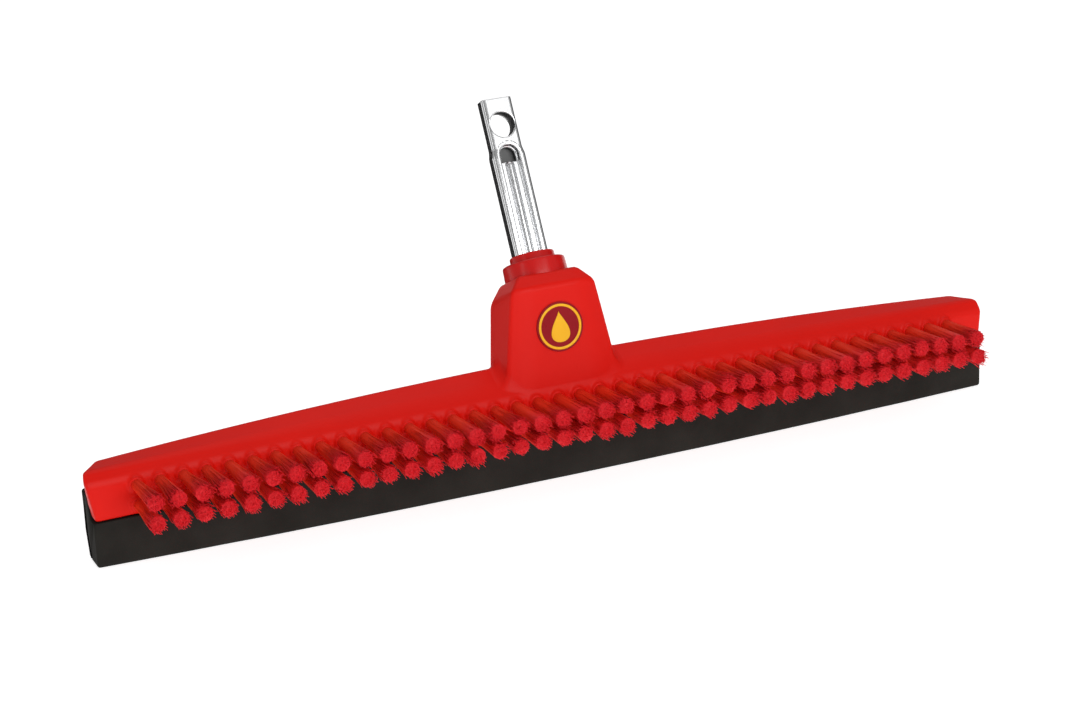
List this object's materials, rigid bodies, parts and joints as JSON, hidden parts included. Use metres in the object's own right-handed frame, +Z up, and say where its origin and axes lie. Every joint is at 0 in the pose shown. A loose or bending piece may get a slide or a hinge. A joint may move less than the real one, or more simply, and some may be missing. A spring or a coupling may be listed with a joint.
{
  "type": "floor squeegee brush head",
  "caption": "Wide floor squeegee head with a black double foam lip, a two-row red scrubbing brush along its front and a steel quick-connect tang for a handle.",
  "frame": {"origin": "middle of the front lip's wiping face, where the head stands on the floor", "axes": "+X along the head to its right end, +Y to the back, +Z up; the brush points to -Y and the tang leans back"},
  "size_m": [0.4322, 0.1043, 0.1576],
  "materials": {
    "body_plastic": "fine moulded texture",
    "socket_plastic": "smooth",
    "bright_steel": "bright plated sheet steel",
    "badge_enamel": "smooth",
    "badge_yellow": "smooth",
    "lip_foam": "fine closed-cell foam rubber",
    "anchor_wire": "flat wire",
    "bristle": "crimped filament"
  },
  "bodies": {
    "root": {"body_shell": "body_plastic", "handle_socket": "socket_plastic", "tang": "bright_steel", "tang_pin": "bright_steel", "badge": "badge_enamel", "front_lip": "lip_foam", "rear_lip": "lip_foam", "lip_rail": "bright_steel", "rail_screws": "bright_steel", "upper_anchors": "anchor_wire", "lower_anchors": "anchor_wire", "tuft_pair_01": "bristle", "tuft_pair_02": "bristle", "tuft_pair_03": "bristle", "tuft_pair_04": "bristle", "tuft_pair_05": "bristle", "tuft_pair_06": "bristle", "tuft_pair_07": "bristle", "tuft_pair_08": "bristle", "tuft_pair_09": "bristle", "tuft_pair_10": "bristle", "tuft_pair_11": "bristle", "tuft_pair_12": "bristle", "tuft_pair_13": "bristle", "tuft_pair_14": "bristle", "tuft_pair_15": "bristle", "tuft_pair_16": "bristle", "tuft_pair_17": "bristle", "tuft_pair_18": "bristle", "tuft_pair_19": "bristle", "tuft_pair_20": "bristle", "tuft_pair_21": "bristle", "tuft_pair_22": "bristle", "tuft_pair_23": "bristle", "tuft_pair_24": "bristle", "tuft_pair_25": "bristle", "tuft_pair_26": "bristle", "tuft_pair_27": "bristle", "tuft_pair_28": "bristle", "tuft_pair_29": "bristle", "tuft_pair_30": "bristle", "tuft_pair_31": "bristle", "tuft_pair_32": "bristle", "tuft_pair_33": "bristle", "tuft_pair_34": "bristle", "tuft_pair_35": "bristle", "tuft_pair_36": "bristle", "tuft_pair_37": "bristle", "tuft_pair_38": "bristle", "tuft_pair_39": "bristle", "tuft_pair_40": "bristle"}
  },
  "joints": []
}
